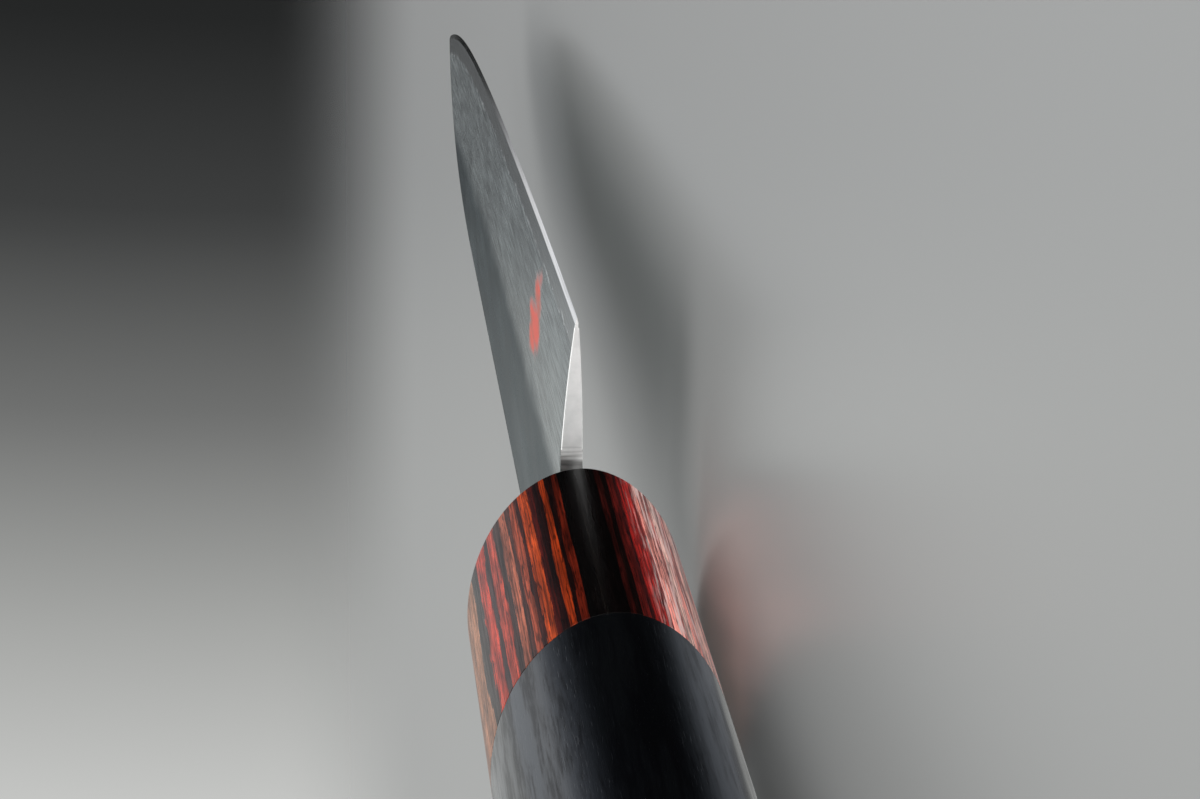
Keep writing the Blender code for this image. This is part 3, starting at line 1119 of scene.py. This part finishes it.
    def build(self) -> None:
        """Model the blade from a grid that is laid on one side, walled and mirrored."""
        columns, rows = self.last_column, self.last_row
        select_only()
        bpy.ops.mesh.primitive_grid_add(x_subdivisions=columns, y_subdivisions=rows, size=2.0)
        blade = bpy.context.active_object
        blade.name = "forged_blade"
        cells = []
        for vertex in blade.data.vertices:
            cells.append((round((vertex.co.x + 1) / 2 * columns), round((1 - vertex.co.y) / 2 * rows)))
            vertex.co = self.point(*cells[-1])
        self.drop_hollow(blade, cells)
        self.add_walls(blade)
        add_modifier(blade, "MIRROR", use_axis=(False, False, True), merge_threshold=MERGE)
        clean_shell(blade)
        self.draw_tang(blade)
        self.shade(blade)
        self.dress(blade)
        place_piece(blade, "blade")

    def drop_hollow(self, blade: bpy.types.Object, cells: Sequence[tuple[int, int]]) -> None:
        """Delete the faces of the grid under the neck, where there is no steel.

        Args:
            blade: Grid that has its shape.
            cells: Column and row of each point.
        """
        hollow = []
        for face in blade.data.polygons:
            columns, rows = zip(*[cells[index] for index in face.vertices])
            hollow.append(min(columns) < self.heel_column and max(rows) > self.corner_row)
        pick(blade, Domain.FACE, lambda face: hollow[face.index])
        bpy.ops.mesh.delete(type="FACE")
        leave_edit()

    def add_walls(self, blade: bpy.types.Object) -> None:
        """Extrude the open rim down to the middle plane.

        Args:
            blade: Upper side of the blade.
        """
        pick(blade, Domain.EDGE, lambda edge: edge.is_boundary)
        bpy.ops.mesh.extrude_edges_move()
        bpy.ops.transform.resize(value=(1.0, 1.0, 0.0), center_override=(0.0, 0.0, 0.0))
        leave_edit()
        clean_shell(blade, self.wall_merge)

    def draw_tang(self, blade: bpy.types.Object) -> None:
        """Extrude the tang out of the neck's rear face and taper it.

        Args:
            blade: Blade and neck, closed.
        """
        back, slack = -self.neck_seat, self.tang_slack
        top = self.spine_offset - self.spine_shoulder
        bottom = self.neck_bottom + self.edge_shoulder
        pick(
            blade, Domain.FACE,
            lambda face: abs(face.calc_center_median().x - back) < slack
            and bottom - slack < min(v.co.y for v in face.verts)
            and max(v.co.y for v in face.verts) < top + slack,
        )
        reach = self.tang_length - self.neck_seat
        taper = (self.tang_end_height / (top - bottom), self.tang_end_thickness / self.spine_thickness)
        bpy.ops.mesh.extrude_region_move(TRANSFORM_OT_translate={"value": (-reach, 0.0, 0.0)})
        bpy.ops.transform.resize(value=(1.0, *taper), center_override=(0.0, 0.0, 0.0))
        leave_edit()
        clean_shell(blade)

    def shade(self, blade: bpy.types.Object) -> None:
        """Shade the ground faces smooth and keep the bevel's line and the walls crisp.

        Args:
            blade: The whole forging.
        """
        smooth_by_angle(blade, self.smooth_angle)

        def on_bevel_line(vertex: bmesh.types.BMVert) -> bool:
            """Say whether a point lies where the cutting bevel starts or ends.

            Args:
                vertex: The point.

            Returns:
                Whether it does.
            """
            share = (vertex.co.x - self.neck_length) / self.length
            if not 0.0 <= share <= 1.0:
                return False
            lines = (self.bevel_at(share), self.edge_at(share))
            return min(abs(vertex.co.y - line) for line in lines) < self.line_slack

        pick(blade, Domain.EDGE, lambda edge: all(on_bevel_line(v) for v in edge.verts))
        bpy.ops.mesh.mark_sharp()
        leave_edit()

    def dress(self, blade: bpy.types.Object) -> None:
        """Store how far each point is from the edge and give faces and walls their steel.

        Args:
            blade: The whole forging.
        """
        mesh = blade.data
        above = mesh.attributes.new("above_edge", "FLOAT", "POINT")
        for vertex in mesh.vertices:
            share = min(max((vertex.co.x - self.neck_length) / self.length, 0.0), 1.0)
            above.data[vertex.index].value = vertex.co.y - self.edge_at(share)
        mesh.materials.append(self.faces.material())
        mesh.materials.append(self.dressed.material())
        for face in mesh.polygons:
            face.material_index = int(abs(face.normal.z) < self.wall_normal)


@dataclass
class OvalSection:
    """The handle's oval, which grows evenly from the front to the butt."""

    length: float = 0.1203
    front_width: float = 0.0175
    front_height: float = 0.02454
    butt_width: float = 0.0187
    butt_height: float = 0.02622
    power: float = 1.94
    corners: int = 144
    slack: float = 1e-6

    def rod(self, name: str, front: float, back: float) -> bpy.types.Object:
        """Add a stretch of the handle.

        Args:
            name: Name of the object.
            front: Where it starts on the X axis.
            back: Where it ends on the X axis.

        Returns:
            The oval rod.
        """
        item = add_rod(name, 1.0, front, back, self.corners)
        for vertex in item.data.vertices:
            share = -vertex.co.x / self.length
            half_height = mix_value(self.front_height, self.butt_height, share) / 2
            half_width = mix_value(self.front_width, self.butt_width, share) / 2
            radius = math.hypot(vertex.co.y, vertex.co.z)
            across, up = vertex.co.y / radius, vertex.co.z / radius
            vertex.co.y = half_height * math.copysign(abs(across) ** (2 / self.power), across)
            vertex.co.z = half_width * math.copysign(abs(up) ** (2 / self.power), up)
        return item

    def round_rim(self, item: bpy.types.Object, x: float, offset: float, segments: int) -> None:
        """Round off the rim of one end.

        Args:
            item: Oval rod whose end is rounded.
            x: Place of that end.
            offset: Size of the rounding.
            segments: How many faces it gets.
        """
        pick(item, Domain.EDGE, lambda edge: all(abs(v.co.x - x) < self.slack for v in edge.verts))
        bpy.ops.mesh.bevel(offset=offset, segments=segments, profile=0.5, affect="EDGES")
        leave_edit()


@dataclass
class Ferrule:
    """Laminated ferrule with a mouth for the neck and a bore for the dowel."""

    section: OvalSection
    length: float = 0.0261
    wall: float = 0.0065
    front_ease: float = 0.0004
    front_segments: int = 4
    joint_ease: float = 0.00007
    joint_segments: int = 2
    mouth_gap: float = 0.00008
    mouth_depth: float = 0.0043
    bore_radius: float = 0.0066
    neck_top: float = 0.00805
    neck_bottom: float = -0.00555
    neck_half: float = 0.00095
    slot_top: float = 0.0048
    slot_bottom: float = -0.0048
    slot_room: float = 1.2
    overrun: float = 0.001
    finish: Finish = field(default_factory=VeneerLaminate)

    def build(self) -> None:
        """Model the ferrule from a rod."""
        ferrule = self.section.rod("veneer_ferrule", 0.0, -self.length)
        self.section.round_rim(ferrule, 0.0, self.front_ease, self.front_segments)
        self.section.round_rim(ferrule, -self.length, self.joint_ease, self.joint_segments)
        half = self.neck_half + self.mouth_gap
        mouth = add_box(
            "mouth", (-self.mouth_depth, self.neck_bottom - self.mouth_gap, -half),
            (self.overrun, self.neck_top + self.mouth_gap, half),
        )
        slot = add_box(
            "slot", (-self.wall - self.overrun, self.slot_bottom, -half * self.slot_room),
            (-self.mouth_depth + self.overrun, self.slot_top, half * self.slot_room),
        )
        bore = add_rod("bore", self.bore_radius, -self.wall, -self.length - self.overrun, BORE_CORNERS)
        hollow_out(ferrule, mouth, slot, bore)
        ferrule.data.materials.append(self.finish.material())
        place_piece(ferrule, "ferrule")


@dataclass
class HandleBody:
    """Oval body of black wood, rounded at the butt and bored for the dowel."""

    section: OvalSection
    front: float = -0.02615
    joint_ease: float = 0.00007
    joint_segments: int = 2
    butt_rounding: float = 0.0022
    butt_segments: int = 10
    bore_radius: float = 0.0066
    bore_end: float = -0.0945
    overrun: float = 0.001
    finish: Finish = field(default_factory=BlackWood)

    def build(self) -> None:
        """Model the body from a rod."""
        butt = -self.section.length
        body = self.section.rod("black_handle", self.front, butt)
        self.section.round_rim(body, butt, self.butt_rounding, self.butt_segments)
        self.section.round_rim(body, self.front, self.joint_ease, self.joint_segments)
        bore = add_rod("bore", self.bore_radius, self.front + self.overrun, self.bore_end, BORE_CORNERS)
        hollow_out(body, bore)
        body.data.materials.append(self.finish.material())
        place_piece(body, "handle_body")


@dataclass
class HiddenJoinery:
    """Dowel and resin bedding, which stay as the CAD has them and get their finish."""

    wood: Finish = field(default_factory=TurnedHardwood)
    resin: Finish = field(default_factory=CastResin)

    def build(self) -> None:
        """Put the finishes on the CAD nodes."""
        for node, finish in (("dowel", self.wood), ("tang_bedding", self.resin)):
            mesh = frame["nodes"][node].data
            mesh.materials.clear()
            mesh.materials.append(finish.material())
            LOG.info("%s: dressed", node)


# Studio


@dataclass(frozen=True)
class Softbox:
    """Square soft lamp.

    Attributes:
        name: Name of the lamp.
        place: Where it hangs.
        aim: What it faces.
        size: Length of its side.
        power: Its power in watts.
        mirrored: Whether polished things show it.
    """

    name: str
    place: Point
    aim: Point
    size: float
    power: float
    mirrored: bool = True

    def hang(self) -> None:
        """Add the lamp, turned to what it faces."""
        light = bpy.data.lights.new(self.name, "AREA")
        light.shape = "SQUARE"
        light.size = self.size
        light.energy = self.power
        lamp = bpy.data.objects.new(self.name, light)
        bpy.context.scene.collection.objects.link(lamp)
        lamp.location = self.place
        lamp.rotation_euler = (Vector(self.aim) - Vector(self.place)).to_track_quat("-Z", "Y").to_euler()
        lamp.visible_glossy = self.mirrored


@dataclass(frozen=True)
class Panel:
    """Lit panel beside the flag, dimmer towards the flag.

    Attributes:
        raised: Heights of direction where it starts and where it has its full light.
        stops: Its colours, from the rim of its reach up to the flag's middle.
        mirror_only: Whether it shows in polished things alone.
        reach: Cosines of the angle to the flag's middle that the stops lie between.
    """

    raised: Span
    stops: Stops
    mirror_only: bool = False
    reach: Span = (0.65, 1.0)

    def light(self, nodes: Nodes, to_flag: Socket, height: Socket) -> Socket:
        """Light of the panel.

        Args:
            nodes: Nodes of the world.
            to_flag: Cosine of the angle to the flag's middle.
            height: Height of the direction that is looked in.

        Returns:
            The colour output.
        """
        nearness = nodes.add("MapRange", (to_flag, *self.reach))
        colour = nodes.add("ValToRGB", (nearness,), stops=self.stops)
        share = nodes.add("MapRange", (height, *self.raised), **SOFT)
        if self.mirror_only:
            mirrored = nodes.add("LightPath", out="Is Glossy Ray")
            share = nodes.add("Math", (share, mirrored), operation="MULTIPLY")
        return nodes.add("VectorMath", {0: colour, "Scale": share}, operation="SCALE")


@dataclass
class Studio:
    """Pale floor, soft light and the photograph's viewpoint.

    The room is light all round but for a black flag beyond the tip. Steel and black wood have
    their looks from what they mirror: the flag keeps the handle's middle and the far blade
    dark, and the lit panels above, below and beside it give both flanks, the cutting bevel and
    the near blade their sheen.
    """

    floor_radius: float = 4.0
    floor_corners: int = 96
    floor_gap: float = 0.00002
    floor: Finish = field(default_factory=FloorPaint)
    lamps: tuple[Softbox, ...] = (
        Softbox("overhead softbox", (-0.05, 0.05, 0.90), (-0.02, 0.0, 0.0), 1.2, 4.0),
        Softbox("softbox behind the camera", (-0.75, -0.40, 0.28), (0.0, -0.01, 0.01), 0.5, 4.2),
        Softbox("softbox on the edge's side", (-0.285, -1.50, 0.16), (0.0, 0.0, 0.01), 0.30, 21.0, False),
    )
    flag_way: Point = (0.90, -0.43, 0.0)
    room_reach: Span = (-0.7, 0.8)
    room: Stops = (
        (0.0, "#ffffff"), (0.467, "#e7e8e6"), (0.767, "#dddedc"), (0.842, "#c7c8c6"),
        (0.875, "#a5a6a4"), (0.909, "#707170"), (0.940, "#3e3f3f"), (0.968, "#262727"),
        (1.0, "#181919"),
    )
    upper_panel: Panel = Panel(
        (0.162, 0.224),
        ((0.0, "#ccd0d5"), (0.143, "#d6dade"), (0.314, "#e5e6e8"), (0.400, "#d7dade"),
         (0.486, "#9ea2a9"), (0.634, "#686c73"), (0.777, "#2e3034"), (0.870, "#141517"),
         (1.0, "#020202")),
    )
    lower_panel: Panel = Panel(
        (-0.085, -0.265),
        ((0.0, "#888b90"), (0.343, "#868a90"), (0.486, "#5e6267"), (0.600, "#3a3d41"),
         (0.714, "#1f2124"), (0.800, "#101112"), (0.930, "#070708"), (1.0, "#020202")),
    )
    low_wall: Panel = Panel(
        (0.085, 0.13),
        ((0.0, "#dcdedd"), (0.060, "#cbcdcc"), (0.143, "#8e9190"), (0.168, "#606363"),
         (0.200, "#313333"), (0.250, "#161717"), (0.430, "#0c0c0c"), (0.700, "#040404")),
    )
    # a dim wall behind the flag, so that the point of the blade isn't black
    far_wall: Panel = Panel(
        (0.12, 0.05), ((0.0, "#464747"), (0.371, "#464747"), (0.486, "#020202")), mirror_only=True,
    )
    fill_light: float = 0.42
    camera_place: Point = (-0.22165, -0.10942, 0.02685)
    camera_right: Point = (-0.10887, -0.04073, -0.99322)
    camera_up: Point = (0.38090, -0.92461, -0.00383)
    camera_back: Point = (-0.91819, -0.37873, 0.11618)
    lens: float = 92.78
    sensor: float = 36.0
    clip_start: float = 0.01

    def build(self) -> None:
        """Add floor, world, lamps and camera."""
        self.add_floor()
        self.add_world()
        for lamp in self.lamps:
            lamp.hang()
        self.add_camera()

    def add_floor(self) -> None:
        """Lay a plain pale sheet, which polished pieces don't mirror.

        They mirror the room instead, which keeps their lower flanks as in a shot where the
        object stands clear of the ground.
        """
        bpy.ops.mesh.primitive_circle_add(
            vertices=self.floor_corners, radius=self.floor_radius, fill_type="NGON",
            location=(0.0, 0.0, -self.floor_gap),
        )
        floor = bpy.context.active_object
        floor.name = "studio_floor"
        bpy.ops.object.transform_apply(location=True)
        floor.data.materials.append(self.floor.material())
        floor.visible_glossy = False

    def add_world(self) -> None:
        """Light surroundings, with the flag's darkness and the lit panels as functions of direction."""
        world = bpy.data.worlds.new("light room with a black flag")
        bpy.context.scene.world = world
        world.use_nodes = True
        nodes = Nodes(world.node_tree, "Generated")
        to_flag = nodes.add("VectorMath", (nodes.place, self.flag_way), out="Value", operation="DOT_PRODUCT")
        height = nodes.add("SeparateXYZ", (nodes.place,), out="Z")
        nearness = nodes.add("MapRange", (to_flag, *self.room_reach))
        light = nodes.add("ValToRGB", (nearness,), stops=self.room)
        for panel in (self.upper_panel, self.lower_panel, self.low_wall, self.far_wall):
            shine = panel.light(nodes, to_flag, height)
            light = nodes.add("VectorMath", (light, shine), operation="MAXIMUM")
        rays = [nodes.add("LightPath", out=ray) for ray in ("Is Camera Ray", "Is Glossy Ray")]
        seen = nodes.add("Math", rays, operation="MAXIMUM")
        strength = nodes.add("MapRange", (seen, 0.0, 1.0, self.fill_light, 1.0))
        nodes.fill(nodes.tree.nodes["Background"], {"Color": light, "Strength": strength})

    def add_camera(self) -> None:
        """Stand the camera where the photograph was taken from."""
        camera = bpy.data.objects.new("camera", bpy.data.cameras.new("camera"))
        bpy.context.scene.collection.objects.link(camera)
        axes = Matrix((self.camera_right, self.camera_up, self.camera_back)).transposed()
        camera.matrix_world = Matrix.Translation(KNIFE_ORIGIN + Vector(self.camera_place)) @ axes.to_4x4()
        camera.data.lens = self.lens
        camera.data.sensor_width = self.sensor
        camera.data.sensor_fit = "HORIZONTAL"
        camera.data.clip_start = self.clip_start
        bpy.context.scene.camera = camera


def main() -> None:
    """Build every class in order."""
    logging.basicConfig(level=logging.INFO, format="%(name)s: %(message)s")
    bpy.context.scene.view_settings.view_transform = "Standard"
    section = OvalSection()
    for part in (Blade(), Ferrule(section), HandleBody(section), HiddenJoinery(), Studio()):
        part.build()


if __name__ == "__main__":
    main()
